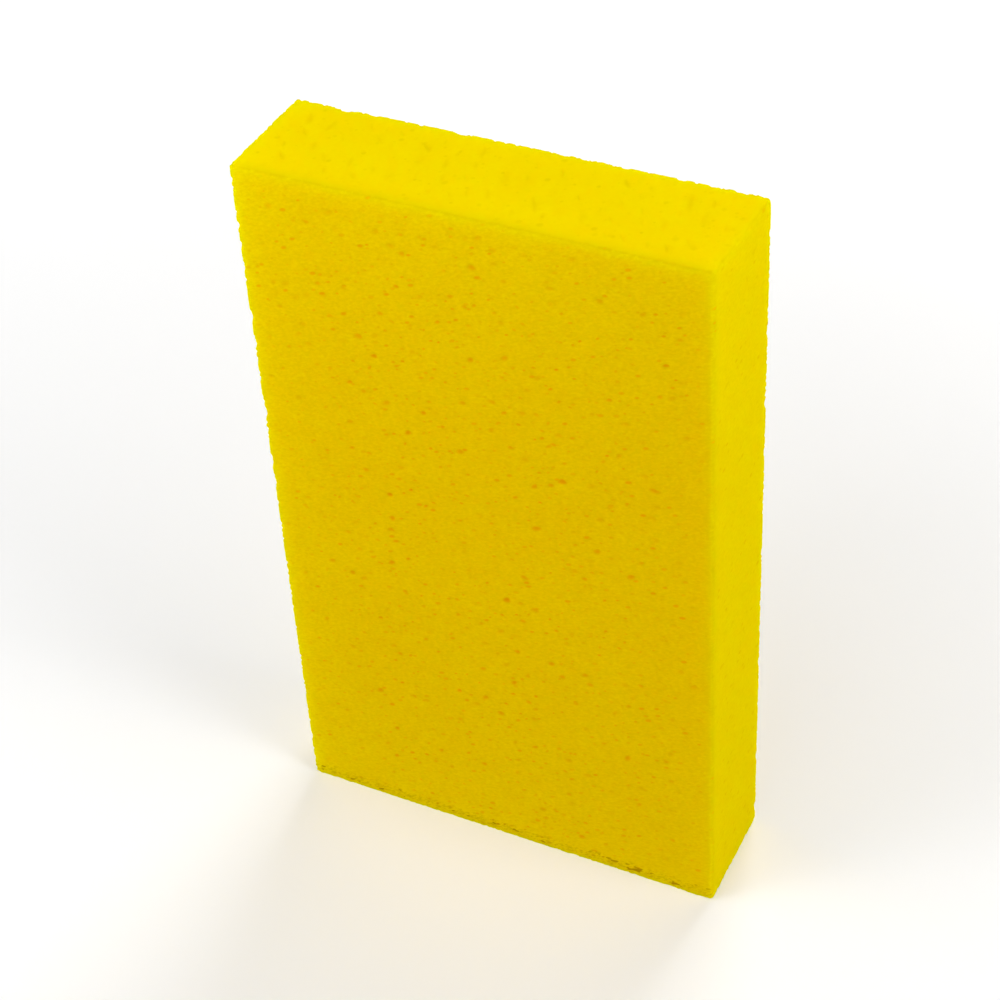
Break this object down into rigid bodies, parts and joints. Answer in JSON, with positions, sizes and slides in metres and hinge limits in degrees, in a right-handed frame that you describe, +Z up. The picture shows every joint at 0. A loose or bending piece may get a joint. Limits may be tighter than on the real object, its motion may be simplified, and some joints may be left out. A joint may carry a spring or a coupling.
{
  "type": "foam sponge block",
  "caption": "Rectangular block of yellow open-cell foam, a decorator's sponge for wetting, wiping down and padding on paint. It stands on its short end.",
  "frame": {"origin": "middle of the short end that the block stands on", "axes": "+Z up the height, +Y through the thickness from the working face to the back face, +X along the width, to the right when looking at the working face"},
  "size_m": [0.15, 0.04, 0.25],
  "materials": {
    "foam": "matt open-cell foam"
  },
  "bodies": {
    "root": {"foam_block": "foam"}
  },
  "joints": []
}
